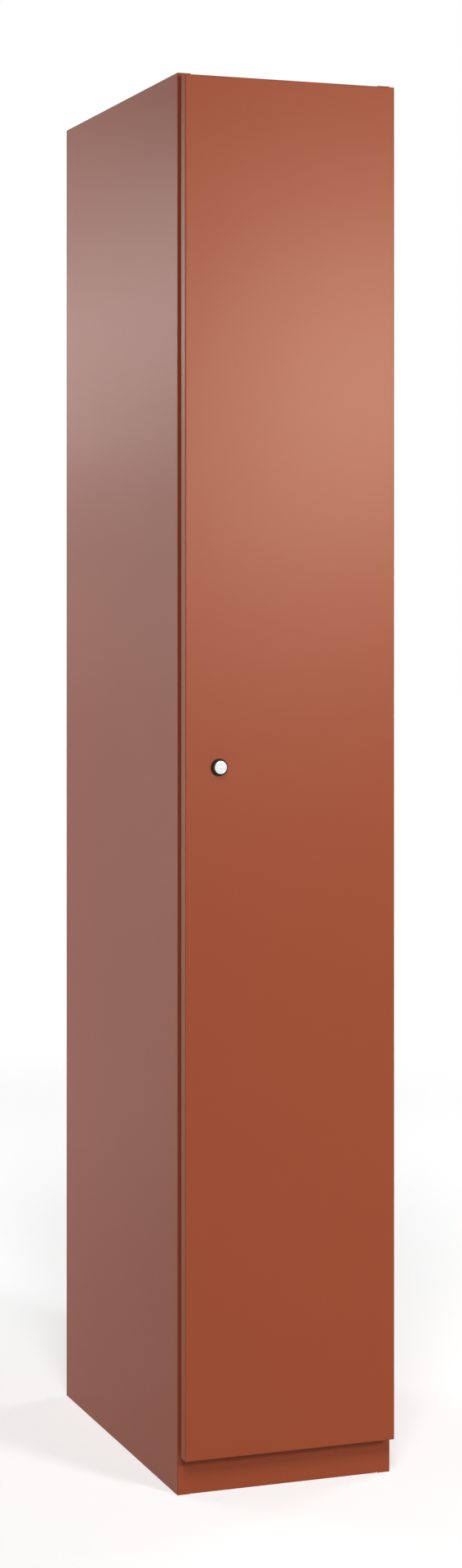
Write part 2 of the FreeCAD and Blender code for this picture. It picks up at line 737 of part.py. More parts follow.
def door_skin():
    """Folded tray with rear returns, slotted at the hinge edge and pierced for the lock."""
    body = new_body("door_skin")
    block = rectangle(body, "XZ", DOOR_FACE, (f"-{DOOR_HALF}", "door_bottom"), (DOOR_HALF, DOOR_TOP))
    base = pad(block, "door_thickness", reverse=True)
    doc.recompute()
    bends = body.newObject("PartDesign::Fillet", "Bends")
    bends.Base = (base, [f"Edge{i}" for i in range(1, len(base.Shape.Edges) + 1)])
    bind(bends, "Radius", BEND_OUTSIDE)

    hollow = rectangle(
        body, "XZ", f"{DOOR_FACE} + door_thickness / 2",
        (f"sheet - {DOOR_HALF}", "door_bottom + sheet"), (f"{DOOR_HALF} - sheet", f"{DOOR_TOP} - sheet"))
    pocket(hollow, "door_thickness - 2 * sheet")
    window = rectangle(
        body, "XZ", "-door_gap - sheet / 2",
        (f"door_return - {DOOR_HALF}", "door_bottom + door_return"),
        (f"{DOOR_HALF} - door_return", f"{DOOR_TOP} - door_return"))
    pocket(window, "3 * sheet")

    slot = rectangle(
        body, "XY", HINGES["lower"],
        (f"{PIN_X} - lug_neck / 2 - door_slot_play", f"{DOOR_FACE} + 2 * sheet"), (HALF, "0"))
    cut = pocket(slot, "lug_thickness + 2 * door_slot_play")
    row_of(cut, f"{HINGES['upper']} - {HINGES['lower']}", str(len(HINGES)))

    middle = f"{DOOR_FACE} + sheet / 2"
    hole = "(barrel_diameter / 2 + lock_hole_play)"
    pocket(circles(body, "XZ", middle, [(LOCK_X, DOOR_MIDDLE)], f"2 * {hole}"), "3 * sheet")
    for side in SIDES.values():
        land = rectangle(
            body, "XZ", DOOR_FACE,
            (f"{LOCK_X} - {hole}", f"{DOOR_MIDDLE} + {side} * (barrel_flats / 2 + lock_hole_play)"),
            (f"{LOCK_X} + {hole}", f"{DOOR_MIDDLE} + {side} * ({hole} + sheet)"))
        pad(land, "sheet", reverse=True)


def door_stiffener():
    """Hat profile spot-welded down the middle of the skin's inner face."""
    body = new_body("door_stiffener", y=f"{DOOR_FACE} + sheet")
    crown = "(stiffener_crown / 2)"
    foot = "(stiffener_crown / 2 + stiffener_foot)"
    profile = polygon(body, "XY", "door_bottom + door_return + stiffener_end_gap", [
        (f"-{foot}", "0"), (f"sheet - {crown}", "0"), (f"sheet - {crown}", "stiffener_depth - sheet"),
        (f"{crown} - sheet", "stiffener_depth - sheet"), (f"{crown} - sheet", "0"), (foot, "0"),
        (foot, "sheet"), (crown, "sheet"), (crown, "stiffener_depth"), (f"-{crown}", "stiffener_depth"),
        (f"-{crown}", "sheet"), (f"-{foot}", "sheet"),
    ])
    pad(profile, f"{DOOR_TOP} - door_bottom - 2 * (door_return + stiffener_end_gap)")
    round_corners(profile, [1, 4, 8, 9], BEND_OUTSIDE)
    round_corners(profile, [2, 3, 7, 10], "bend_inside")


def hinge_lug(name, level):
    """Bent lug: an eye and neck that come out through the stile, and a leaf welded behind it."""
    body = new_body(f"hinge_lug_{name}", PIN_X, PIN_Y, level)
    seat = "(pin_from_back + door_gap + sheet)"
    pad(circles(body, "XY", "0", [("0", "0")], "eye_diameter"), "lug_thickness", symmetric=True)
    neck = rectangle(body, "XY", "0", ("-lug_neck / 2", "0"), ("lug_neck / 2", f"{seat} + lug_thickness"))
    pad(neck, "lug_thickness", symmetric=True)
    leaf = rectangle(
        body, "XZ", seat, ("-leaf_width / 2", "lug_thickness / 2 - leaf_height"),
        ("leaf_width / 2", "lug_thickness / 2"))
    pad(leaf, "lug_thickness", reverse=True)
    round_corners(leaf, [0, 1], "lug_thickness")
    bore = "pin_diameter + 2 * (running_play + bush_wall + push_play)"
    pocket(circles(body, "XY", "0", [("0", "0")], bore), "2 * lug_thickness")


def hinge_bushes():
    bushes = []
    bore = "(pin_diameter / 2 + running_play)"
    sleeve = f"({bore} + bush_wall)"
    for level in HINGES.values():
        body = new_body("hinge_bush", PIN_X, PIN_Y, level, listed=False)
        revolve(polygon(body, "XZ", "0", [
            (bore, "-lug_thickness / 2"), (sleeve, "-lug_thickness / 2"), (sleeve, "lug_thickness / 2"),
            (f"{sleeve} + bush_collar", "lug_thickness / 2"),
            (f"{sleeve} + bush_collar", "lug_thickness / 2 + bush_collar_height"),
            (bore, "lug_thickness / 2 + bush_collar_height"),
        ]))
        bushes.append(body)
    new_group("hinge_bushes", bushes)


EAR_TOP = "(lug_thickness / 2 + bush_collar_height + ear_play)"
EAR_FOOT = "(lug_thickness / 2 + ear_play)"


def hinge_bracket(name, level):
    """U bracket on the skin's inner face: two ears round the lug's eye and a tall base."""
    body = new_body(f"hinge_bracket_{name}", PIN_X, PIN_Y, level)
    skin = "(pin_from_back + sheet - door_thickness)"
    low = f"(-{EAR_FOOT} - ear_thickness)"
    height = f"({EAR_TOP} + {EAR_FOOT} + 2 * ear_thickness)"
    pad(rectangle(body, "XY", low, ("-ear_width / 2", skin), ("ear_width / 2", "0")), height)
    pad(circles(body, "XY", low, [("0", "0")], "ear_width"), height)
    throat = rectangle(
        body, "YZ", "0", (f"{skin} + bracket_base", f"-{EAR_FOOT}"), ("ear_width", EAR_TOP))
    pocket(throat, "2 * ear_width")
    base = rectangle(
        body, "XZ", skin,
        ("-ear_width / 2", "-bracket_height / 2"), ("ear_width / 2", "bracket_height / 2"))
    pad(base, "bracket_base", reverse=True)
    round_corners(base, [0, 1, 2, 3], "ear_thickness")
    pocket(circles(body, "XY", "0", [("0", "0")], "pin_diameter + 2 * push_play"), "bracket_height")


def hinge_pin(name, level):
    """Headed pin, dropped in from above and peened under the lower ear."""
    body = new_body(f"hinge_pin_{name}", PIN_X, PIN_Y, level)
    head_seat = f"({EAR_TOP} + ear_thickness)"
    peen_seat = f"(-{EAR_FOOT} - ear_thickness)"
    revolve(polygon(body, "XZ", "0", [
        ("0", f"{head_seat} + pin_head_height"), ("pin_head / 3", f"{head_seat} + pin_head_height"),
        ("pin_head / 2", f"{head_seat} + pin_head_height / 2"), ("pin_head / 2", head_seat),
        ("pin_diameter / 2", head_seat), ("pin_diameter / 2", peen_seat), ("pin_peen / 2", peen_seat),
        ("pin_diameter / 2", f"{peen_seat} - pin_head_height"), ("0", f"{peen_seat} - pin_head_height"),
    ]))


def door_buffers():
    """Rubber buttons pushed into the left stile, just clear of the closed door."""
    buffers = []
    neck = "(buffer_neck / 2 - buffer_play)"
    for level in BUFFER_LEVELS:
        body = new_body("door_buffer", "stile_width / 2 - locker_width / 2", "0", level, listed=False)
        tip = "(buffer_door_play - door_gap)"
        revolve(polygon(body, "XY", "0", [
            ("0", tip), ("buffer_head / 2 - buffer_edge", tip), ("buffer_head / 2", f"{tip} + buffer_edge"),
            ("buffer_head / 2", "0"), (neck, "0"), (neck, "sheet + buffer_play"),
            ("buffer_bulb / 2", "sheet + buffer_play"), (f"{neck} / 2", "sheet + buffer_bulb_length"),
            ("0", "sheet + buffer_bulb_length"),
        ]))
        buffers.append(body)
    new_group("door_buffers", buffers)


# Cylinder lock: local Y = 0 is the door's front face

def lock_housing():
    """Cast collar with a tapered rim, and a barrel with two flats that keys into the door."""
    body = new_body("lock_housing", LOCK_X, DOOR_FACE, DOOR_MIDDLE)
    bore = "(plug_diameter / 2 + running_play)"
    recess = "(face_diameter / 2 + running_play)"
    ledge = "(face_depth - face_proud + running_play)"
    revolve(polygon(body, "XY", "0", [
        (recess, "-collar_proud"), ("collar_front / 2 - collar_edge", "-collar_proud"),
        ("collar_front / 2", "collar_edge - collar_proud"), ("collar_base / 2", "-collar_rim"),
        ("collar_base / 2", "0"), ("barrel_diameter / 2", "0"), ("barrel_diameter / 2", BARREL),
        (bore, BARREL), (bore, ledge), (recess, ledge),
    ]))
    for side in SIDES.values():
        flat = rectangle(
            body, "YZ", "0", ("0", f"{side} * barrel_flats / 2"),
            (f"2 * {BARREL}", f"{side} * barrel_diameter"))
        pocket(flat, "2 * barrel_diameter")


def lock_nut():
    """Hexagon nut that clamps the housing to the inside of the skin."""
    body = new_body("lock_nut", LOCK_X, f"{DOOR_FACE} + sheet", DOOR_MIDDLE)
    nut = hexagon(body, "XZ", "0", "lock_nut_flats")
    pad(nut, "lock_nut_height", reverse=True)
    hole = circles(body, "XZ", "lock_nut_height / 2", [("0", "0")], "barrel_diameter + 2 * lock_hole_play")
    pocket(hole, "2 * lock_nut_height")


def lock_plug():
    """Turning core: a plated face with a T-shaped keyway, the core and a square tang for the cam."""
    body = new_body("lock_plug", LOCK_X, DOOR_FACE, DOOR_MIDDLE)
    revolve(polygon(body, "XY", "0", [
        ("0", "-face_proud"), ("face_diameter / 2 - face_edge", "-face_proud"),
        ("face_diameter / 2", "face_edge - face_proud"), ("face_diameter / 2", "face_depth - face_proud"),
        ("plug_diameter / 2", "face_depth - face_proud"), ("plug_diameter / 2", BARREL), ("0", BARREL),
    ]))
    tang = rectangle(
        body, "XZ", BARREL, ("-cam_square / 2", "-cam_square / 2"), ("cam_square / 2", "cam_square / 2"))
    pad(tang, "cam_thickness", reverse=True)
    under_bar = "keyway_rise - keyway_width"
    stem_end = "keyway_rise - keyway_height"
    keyway = polygon(body, "XZ", "-face_proud", [
        ("-keyway_bar / 2", "keyway_rise"), ("-keyway_bar / 2", under_bar), ("-keyway_width / 2", under_bar),
        ("-keyway_width / 2", stem_end), ("keyway_width / 2", stem_end), ("keyway_width / 2", under_bar),
        ("keyway_bar / 2", under_bar), ("keyway_bar / 2", "keyway_rise"),
    ])
    pocket(keyway, "keyway_depth", symmetric=False)
    thread = circles(body, "XZ", f"{BARREL} + cam_thickness", [("0", "0")], "cam_screw_thread")
    pocket(thread, "cam_screw_length + push_play", symmetric=False, reverse=True)


def lock_cam():
    """Flat arm on the plug's tang. It hangs down when unlocked and turns up behind the left stile."""
    body = new_body("lock_cam", LOCK_X, f"{DOOR_FACE} + {BARREL}", DOOR_MIDDLE)
    pad(circles(body, "XZ", "0", [("0", "0")], "cam_width"), "cam_thickness", reverse=True)
    arm = rectangle(body, "XZ", "0", ("-cam_width / 2", "-cam_reach"), ("cam_width / 2", "0"))
    pad(arm, "cam_thickness", reverse=True)
    round_corners(arm, [0, 1], "cam_width / 4")
    half = "(cam_square / 2 + cam_play)"
    pocket(rectangle(body, "XZ", "0", (f"-{half}", f"-{half}"), (half, half)), "3 * cam_thickness")


def cam_screw():
    """Socket screw that holds the cam on the tang."""
    body = new_body("cam_screw", LOCK_X, f"{DOOR_FACE} + {BARREL} + cam_thickness", DOOR_MIDDLE)
    thread = "(cam_screw_thread / 2 - push_play)"
    revolve(polygon(body, "XY", "0", [
        ("0", "-cam_screw_length"), (thread, "-cam_screw_length"), (thread, "0"),
        ("cam_screw_head / 2", "0"), ("cam_screw_head / 2", "cam_screw_head_height / 2"),
        ("cam_screw_head / 3", "cam_screw_head_height"), ("0", "cam_screw_head_height"),
    ]))
    socket = hexagon(body, "XZ", "cam_screw_head_height", "cam_screw_key")
    pocket(socket, "cam_screw_head_height", symmetric=True)


# The assembly, from the carcass outwards

left_side_panel()
right_side_panel()
back_panel()
top_panel()
floor_panel()
plinth_front()
hat_shelf()
for side_name, side_sign in SIDES.items():
    shelf_angle(side_name, side_sign)
    rail_hanger(side_name, side_sign)
hanger_rivets()
back_rivets()
coat_rail()
for hook_name, hook_place in (("left", -1), ("middle", 0), ("right", 1)):
    coat_hook(hook_name, hook_place)
for foot_name, (foot_side, foot_depth) in FEET.items():
    foot_bracket(foot_name, foot_side, foot_depth)
    levelling_foot(foot_name, foot_side, foot_depth)
foot_nuts()
floor_plugs()
for hinge_name, hinge_level in HINGES.items():
    hinge_lug(hinge_name, hinge_level)
    hinge_bracket(hinge_name, hinge_level)
    hinge_pin(hinge_name, hinge_level)
hinge_bushes()
door_buffers()
door_skin()
door_stiffener()
lock_housing()
lock_nut()
lock_plug()
lock_cam()
cam_screw()

doc.recompute()
faults = [item.Name for item in doc.Objects if {"Invalid", "Error"} & set(item.State)]
features = [item for item in doc.Objects if item.isDerivedFrom("PartDesign::Feature")]
faults += [item.Name for item in features + pieces if item.Shape.isNull() or not item.Shape.isValid()]
if faults:
    raise RuntimeError("these did not build: " + ", ".join(faults))
os.makedirs("parts", exist_ok=True)
for piece in pieces:
    piece.Shape.exportStep(f"parts/{piece.Label}.step")
print(len(pieces), "pieces")
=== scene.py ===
import bmesh
import bpy
import math
from mathutils import Matrix, Vector


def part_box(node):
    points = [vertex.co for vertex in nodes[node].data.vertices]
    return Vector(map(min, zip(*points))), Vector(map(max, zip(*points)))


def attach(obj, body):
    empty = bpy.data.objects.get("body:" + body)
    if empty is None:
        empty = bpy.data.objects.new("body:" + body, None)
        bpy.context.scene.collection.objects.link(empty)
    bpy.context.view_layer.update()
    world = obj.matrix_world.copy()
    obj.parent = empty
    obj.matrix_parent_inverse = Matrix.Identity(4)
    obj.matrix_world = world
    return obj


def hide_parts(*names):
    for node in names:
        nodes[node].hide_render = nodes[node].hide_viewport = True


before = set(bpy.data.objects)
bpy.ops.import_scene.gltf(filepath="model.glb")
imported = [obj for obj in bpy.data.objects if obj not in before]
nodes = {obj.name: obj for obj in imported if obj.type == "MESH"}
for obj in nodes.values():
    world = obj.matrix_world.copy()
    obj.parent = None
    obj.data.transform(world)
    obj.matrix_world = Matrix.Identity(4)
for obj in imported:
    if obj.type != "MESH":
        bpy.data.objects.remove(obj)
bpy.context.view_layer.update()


# Carcass: two side panels, back, top, floor and plinth, cut and folded from 1 mm mild steel sheet.
# The box is spot welded and riveted, and then powder coated copper brown before its fittings go in.

MM = 0.001


def surface_noise_group():
    """A fine grain and a broad drift over the surface, both from 0 to 1."""
    group = bpy.data.node_groups.new("surface_noise", "ShaderNodeTree")
    for socket in ("Grain scale", "Drift scale"):
        group.interface.new_socket(socket, in_out="INPUT", socket_type="NodeSocketFloat")
    for socket in ("Grain", "Drift"):
        group.interface.new_socket(socket, in_out="OUTPUT", socket_type="NodeSocketFloat")
    enter = group.nodes.new("NodeGroupInput")
    leave = group.nodes.new("NodeGroupOutput")
    place = group.nodes.new("ShaderNodeTexCoord")
    for effect, detail in (("Grain", 2.0), ("Drift", 4.0)):
        noise = group.nodes.new("ShaderNodeTexNoise")
        noise.inputs["Detail"].default_value = detail
        group.links.new(place.outputs["Object"], noise.inputs["Vector"])
        group.links.new(enter.outputs[f"{effect} scale"], noise.inputs["Scale"])
        group.links.new(noise.outputs["Fac"], leave.inputs[effect])
    return group


surface_noise = surface_noise_group()


def finish(
        name, colours, gloss, grain, drift, relief,
        metallic=0.0, specular=0.5, tint=(1.0, 1.0, 1.0)):
    """A finish that drifts between two colours and two roughnesses, with a fine relief in its surface.

    The tint scales the gloss that is seen face on, and leaves the gloss at a slant as it is.
    """
    material = bpy.data.materials.new(name)
    material.use_nodes = True
    tree = material.node_tree
    shader = tree.nodes["Principled BSDF"]
    shader.inputs["Metallic"].default_value = metallic
    shader.inputs["Specular IOR Level"].default_value = specular
    shader.inputs["Specular Tint"].default_value = (*tint, 1.0)
    noise = tree.nodes.new("ShaderNodeGroup")
    noise.node_tree = surface_noise
    noise.inputs["Grain scale"].default_value = grain
    noise.inputs["Drift scale"].default_value = drift
    colour = tree.nodes.new("ShaderNodeMix")
    colour.data_type = "RGBA"
    colour.inputs["A"].default_value = (*colours[0], 1.0)
    colour.inputs["B"].default_value = (*colours[1], 1.0)
    tree.links.new(noise.outputs["Drift"], colour.inputs["Factor"])
    tree.links.new(colour.outputs["Result"], shader.inputs["Base Color"])
    rough = tree.nodes.new("ShaderNodeMapRange")
    rough.inputs["To Min"].default_value = gloss[0]
    rough.inputs["To Max"].default_value = gloss[1]
    tree.links.new(noise.outputs["Grain"], rough.inputs["Value"])
    tree.links.new(rough.outputs["Result"], shader.inputs["Roughness"])
    bump = tree.nodes.new("ShaderNodeBump")
    bump.inputs["Distance"].default_value = relief
    tree.links.new(noise.outputs["Grain"], bump.inputs["Height"])
    tree.links.new(bump.outputs["Normal"], shader.inputs["Normal"])
    return material


def coat(material, *names):
    """Gives the CAD nodes of these names one finish all over."""
    for name in names:
        nodes[name].data.materials.clear()
        nodes[name].data.materials.append(material)


powder_coat = finish(
    "powder_coat", colours=((0.255, 0.0548, 0.0220), (0.271, 0.0582, 0.0234)), gloss=(0.27, 0.36),
    grain=1100, drift=6, relief=0.012 * MM, metallic=0.0186, specular=0.05, tint=(2.48, 2.48, 2.13))
coat(
    powder_coat, "left_side_panel", "right_side_panel", "back_panel", "top_panel", "floor_panel",
    "plinth_front")


# Blind rivets: aluminium, six down each side of the back panel. Each has a low domed head outside,
# the broken end of its steel mandrel in the middle of the head, and a swollen tail inside.

def turned_piece(name, rings, sides):
    """A closed round piece about Z, drawn out ring by ring from one end to the other."""
    bpy.ops.object.select_all(action="DESELECT")
    radius, height = rings[0]
    bpy.ops.mesh.primitive_circle_add(
        vertices=sides, radius=radius, fill_type="NGON", location=(0, 0, height))
    piece = bpy.context.object
    piece.name = name
    bpy.ops.object.transform_apply(location=True, rotation=True, scale=True)
    bpy.ops.object.mode_set(mode="EDIT")
    for next_radius, next_height in rings[1:]:
        bpy.ops.mesh.extrude_region_move(TRANSFORM_OT_translate={"value": (0, 0, next_height - height)})
        share = next_radius / radius
        bpy.ops.transform.resize(value=(share, share, 1), center_override=(0, 0, next_height))
        radius, height = next_radius, next_height
    bpy.ops.mesh.select_all(action="SELECT")
    bpy.ops.mesh.normals_make_consistent(inside=False)
    bpy.ops.object.mode_set(mode="OBJECT")
    bpy.ops.object.shade_smooth_by_angle(angle=math.radians(38))
    return piece


def in_millimetres(*rings):
    """Ring sizes written in millimetres, in metres."""
    return [(radius * MM, height * MM) for radius, height in rings]


def one_copy(pattern, place):
    """A copy of the pattern at this place."""
    copy = pattern.copy()
    copy.data = pattern.data.copy()
    copy.data.transform(place)
    bpy.context.collection.objects.link(copy)
    return copy


def copies(pattern, places, name):
    """One piece made of copies of the pattern, one at each place, with the pattern itself used up."""
    bpy.ops.object.select_all(action="DESELECT")
    for place in places:
        copy = one_copy(pattern, place)
        copy.select_set(True)
        bpy.context.view_layer.objects.active = copy
    bpy.data.objects.remove(pattern)
    if len(places) > 1:
        bpy.ops.object.join()
    piece = bpy.context.view_layer.objects.active
    piece.name = name
    return piece


def fit(piece, body, slot, material, *replaced):
    """Gives a modelled piece its finish and its body, in place of the CAD nodes that it stands for."""
    piece.data.materials.clear()
    piece.data.materials.append(material)
    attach(piece, body)
    if replaced:
        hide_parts(*replaced)


def evenly(first, last, count):
    """Evenly spaced places from the first to the last."""
    return [first + (last - first) * i / (count - 1) for i in range(count)]


RIVET_HEAD_RADIUS = 3.5 * MM
RIVET_HEAD_HEIGHT = 1.3 * MM
BACK_RIVET_ROWS = 6
rivet_aluminium = finish(
    "rivet_aluminium", colours=((0.66, 0.66, 0.67), (0.74, 0.74, 0.75)), gloss=(0.28, 0.42),
    grain=1800, drift=160, relief=0.02 * MM, metallic=1.0)


def blind_rivet(sheets):
    """A set blind rivet on Z, its head seated at zero, through this many millimetres of sheet."""
    edge = RIVET_HEAD_RADIUS / MM
    crown = RIVET_HEAD_HEIGHT / MM
    return turned_piece("blind_rivet", in_millimetres(
        (0.9, -sheets - 3.0), (1.9, -sheets - 2.9), (2.4, -sheets - 2.3), (2.7, -sheets - 1.3),
        (2.65, -sheets - 0.5), (2.3, -sheets), (2.0, -sheets), (2.0, 0.0), (edge, 0.0), (edge, 0.22),
        (3.2, 0.62), (2.6, 1.0), (1.9, 1.24), (1.35, crown), (1.2, 1.22), (1.15, 0.55), (0.85, 0.55),
        (0.8, 0.8), (0.45, 0.88)), sides=24)


low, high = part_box("back_rivets")
facing_back = Matrix.Rotation(math.radians(-90), 4, "X")
rivet_places = [
    Matrix.Translation((x, high.y - RIVET_HEAD_HEIGHT, z)) @ facing_back
    for x in (low.x + RIVET_HEAD_RADIUS, high.x - RIVET_HEAD_RADIUS)
    for z in evenly(low.z + RIVET_HEAD_RADIUS, high.z - RIVET_HEAD_RADIUS, BACK_RIVET_ROWS)]
back_rivets = copies(blind_rivet(sheets=2.0), rivet_places, "back_panel_rivets")
fit(back_rivets, "carcass", "rivet_aluminium", rivet_aluminium, "back_rivets")


# Hat shelf: a folded steel tray that drops onto two small angles, spot welded to the side panels.
# Each weld leaves a shallow round dimple in the paint, with a low raised ring about it.

coat(powder_coat, "hat_shelf", "shelf_angle_left", "shelf_angle_right")


def spot_weld():
    """The mark that a spot welder's electrode leaves, on Z, standing on the plane of the sheet."""
    return turned_piece("spot_weld", in_millimetres(
        (3.4, -0.05), (3.2, 0.04), (2.8, 0.13), (2.5, 0.1), (2.2, 0.03), (0.8, 0.02)), sides=20)


ANGLE_SHEET = 1.5 * MM
ANGLE_WELDS = 4
ANGLE_WELD_HEIGHT = 7 * MM
ANGLE_WELD_END = 30 * MM
for side, turn in (("left", 90), ("right", -90)):
    low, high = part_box(f"shelf_angle_{side}")
    face_x = low.x + ANGLE_SHEET if side == "left" else high.x - ANGLE_SHEET
    facing_in = Matrix.Rotation(math.radians(turn), 4, "Y")
    weld_places = [
        Matrix.Translation((face_x, y, low.z + ANGLE_WELD_HEIGHT)) @ facing_in
        for y in evenly(low.y + ANGLE_WELD_END, high.y - ANGLE_WELD_END, ANGLE_WELDS)]
    welds = copies(spot_weld(), weld_places, f"shelf_angle_{side}_welds")
    fit(welds, "carcass", "powder_coat", powder_coat)


# Coat rail: oval chromed steel tube, held at its ends by two painted steel hangers under the hat shelf.
# Each hanger's foot is fixed up through the shelf by two blind rivets.

coat(powder_coat, "rail_hanger_left", "rail_hanger_right")
chromed_tube = finish(
    "chromed_tube", colours=((0.66, 0.67, 0.69), (0.72, 0.73, 0.745)), gloss=(0.07, 0.13),
    grain=420, drift=22, relief=0.002 * MM, metallic=1.0)
coat(chromed_tube, "coat_rail")

low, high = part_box("hanger_rivets")
rivet_places = [
    Matrix.Translation((x, y, high.z - RIVET_HEAD_HEIGHT))
    for x in (low.x + RIVET_HEAD_RADIUS, high.x - RIVET_HEAD_RADIUS)
    for y in (low.y + RIVET_HEAD_RADIUS, high.y - RIVET_HEAD_RADIUS)]
hanger_rivets = copies(blind_rivet(sheets=2.5), rivet_places, "rail_hanger_rivets")
fit(hanger_rivets, "carcass", "rivet_aluminium", rivet_aluminium, "hanger_rivets")


# Coat hooks: three double hooks in black polypropylene, each one moulding. A closed loop slides along
# the rail, and a flat trunk below it ends in two upturned arms with round tips.

def combine(piece, other, operation="UNION"):
    """Joins the other solid to the piece, cuts it away or keeps what both share, and uses it up."""
    bpy.ops.object.select_all(action="DESELECT")
    piece.select_set(True)
    bpy.context.view_layer.objects.active = piece
    step = piece.modifiers.new("joint", "BOOLEAN")
    step.object = other
    step.operation = operation
    step.solver = "EXACT"
    bpy.ops.object.modifier_apply(modifier=step.name)
    bpy.data.objects.remove(other)
    return piece


def plain_box(size, middle):
    """A plain box of this size about this middle."""
    bpy.ops.object.select_all(action="DESELECT")
    bpy.ops.mesh.primitive_cube_add(size=1, location=middle)
    block = bpy.context.object
    block.scale = size
    bpy.ops.object.transform_apply(location=True, rotation=True, scale=True)
    return block


HOOK_WIDTH = 14 * MM
LOOP_OUTSIDE = 11.35 * MM
LOOP_INSIDE = 7.85 * MM
LOOP_STRETCH = 7.5 * MM
LOOP_SIDES = 64
HOOK_REACH = 25 * MM
ARM_RADIUS = 4 * MM
TIP_RADIUS = 5.5 * MM
TRUNK_DEPTH = 11 * MM
TRUNK_WIDTH = 0.55 * HOOK_WIDTH
TRUNK_LAP = 2 * MM
TRUNK_LIFT = 0.6 * MM
TRUNK_ROUNDING = 2.4 * MM
HOOK_VOXEL = 0.7 * MM


def oval_bar(name, radius, stretch, width, place):
    """A bar of oval section, long along X, stretched up and down from a round one."""
    bpy.ops.object.select_all(action="DESELECT")
    bpy.ops.mesh.primitive_cylinder_add(
        vertices=LOOP_SIDES, radius=radius, depth=width, rotation=(0, math.pi / 2, 0))
    bar = bpy.context.object
    bar.name = name
    bpy.ops.object.transform_apply(location=True, rotation=True, scale=True)
    bar.data.transform(Matrix.Rotation(math.pi / LOOP_SIDES, 4, "X"))
    bpy.ops.object.mode_set(mode="EDIT")
    for direction in (1, -1):
        mesh = bmesh.from_edit_mesh(bar.data)
        for vertex in mesh.verts:
            vertex.select_set(vertex.co.z * direction > 0)
        mesh.select_flush_mode()
        bmesh.update_edit_mesh(bar.data)
        bpy.ops.transform.translate(value=(0, 0, direction * stretch))
        bpy.ops.mesh.select_all(action="DESELECT")
    bpy.ops.object.mode_set(mode="OBJECT")
    bar.data.transform(Matrix.Translation(place))
    return bar


def moulded_hook(rail, ring):
    """One hook at X zero, its loop about the rail's middle and its arms about the ring's middle."""
    hook = oval_bar("coat_hook", LOOP_OUTSIDE, LOOP_STRETCH, HOOK_WIDTH, rail)
    trunk_top = rail.z - LOOP_STRETCH - LOOP_INSIDE - TRUNK_LAP
    trunk_bottom = ring.z - HOOK_REACH - ARM_RADIUS + TRUNK_LIFT
    trunk = plain_box(
        (TRUNK_WIDTH, TRUNK_DEPTH, trunk_top - trunk_bottom),
        (0, ring.y, (trunk_top + trunk_bottom) / 2))
    bpy.ops.object.mode_set(mode="EDIT")
    bpy.ops.mesh.bevel(offset=TRUNK_ROUNDING, segments=4, affect="EDGES")
    bpy.ops.object.mode_set(mode="OBJECT")
    combine(hook, trunk)
    bpy.ops.object.select_all(action="DESELECT")
    bpy.ops.mesh.primitive_torus_add(
        major_radius=HOOK_REACH, minor_radius=ARM_RADIUS, major_segments=72, minor_segments=20,
        location=ring, rotation=(0, math.pi / 2, 0))
    arms = bpy.context.object
    bpy.ops.object.transform_apply(location=True, rotation=True, scale=True)
    bpy.ops.object.mode_set(mode="EDIT")
    bpy.ops.mesh.select_all(action="SELECT")
    bpy.ops.mesh.bisect(plane_co=ring, plane_no=(0, 0, 1), use_fill=True, clear_outer=True)
    bpy.ops.object.mode_set(mode="OBJECT")
    combine(hook, arms)
    for side in (-1, 1):
        bpy.ops.object.select_all(action="DESELECT")
        bpy.ops.mesh.primitive_uv_sphere_add(
            segments=32, ring_count=16, radius=TIP_RADIUS,
            location=(0, ring.y + side * HOOK_REACH, ring.z))
        tip = bpy.context.object
        bpy.ops.object.transform_apply(location=True, rotation=True, scale=True)
        combine(hook, tip)
    combine(hook, oval_bar("rail_way", LOOP_INSIDE, LOOP_STRETCH, 2 * HOOK_WIDTH, rail), "DIFFERENCE")
    bpy.ops.object.select_all(action="DESELECT")
    hook.select_set(True)
    bpy.context.view_layer.objects.active = hook
    skin = hook.modifiers.new("moulded_skin", "REMESH")
    skin.mode = "VOXEL"
    skin.voxel_size = HOOK_VOXEL
    bpy.ops.object.modifier_apply(modifier=skin.name)
    flow = hook.modifiers.new("softened_corners", "SMOOTH")
    flow.factor = 0.5
    flow.iterations = 5
    bpy.ops.object.modifier_apply(modifier=flow.name)
    bpy.ops.object.shade_smooth()
    return hook


black_plastic = finish(
    "black_plastic", colours=((0.013, 0.013, 0.014), (0.018, 0.018, 0.019)), gloss=(0.38, 0.52),
    grain=1500, drift=60, relief=0.03 * MM)
rail_low, rail_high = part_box("coat_rail")
hook_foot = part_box("coat_hook_middle")[0].z
rail_middle = Vector((0, (rail_low.y + rail_high.y) / 2, (rail_low.z + rail_high.z) / 2))
ring_middle = Vector((0, rail_middle.y, hook_foot + HOOK_REACH + ARM_RADIUS))
hook_pattern = moulded_hook(rail_middle, ring_middle)
for place in ("left", "middle", "right"):
    low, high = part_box(f"coat_hook_{place}")
    hook = one_copy(hook_pattern, Matrix.Translation(((low.x + high.x) / 2, 0, 0)))
    hook.name = f"moulded_hook_{place}"
    fit(hook, f"hook_{place}", "black_plastic", black_plastic, f"coat_hook_{place}")
bpy.data.objects.remove(hook_pattern)


# Foot brackets: four folded steel plates welded in the bottom corners, each with a plated hexagon nut
# on top that takes the thread of a levelling foot.

coat(powder_coat, *(name for name in nodes if name.startswith("foot_bracket")))
zinc_steel = finish(
    "zinc_steel", colours=((0.52, 0.54, 0.56), (0.64, 0.64, 0.62)), gloss=(0.26, 0.44),
    grain=1300, drift=110, relief=0.012 * MM, metallic=1.0)

# Shares of the width across the flats:
NUT_FACE = 0.48
NUT_CONE_INNER = 0.4
NUT_CONE_OUTER = 0.6
NUT_MOUTH = 0.06
# The cones' rise for each step inwards, and their sides:
NUT_CONE_SLOPE = 0.42
NUT_CONE_SIDES = 60


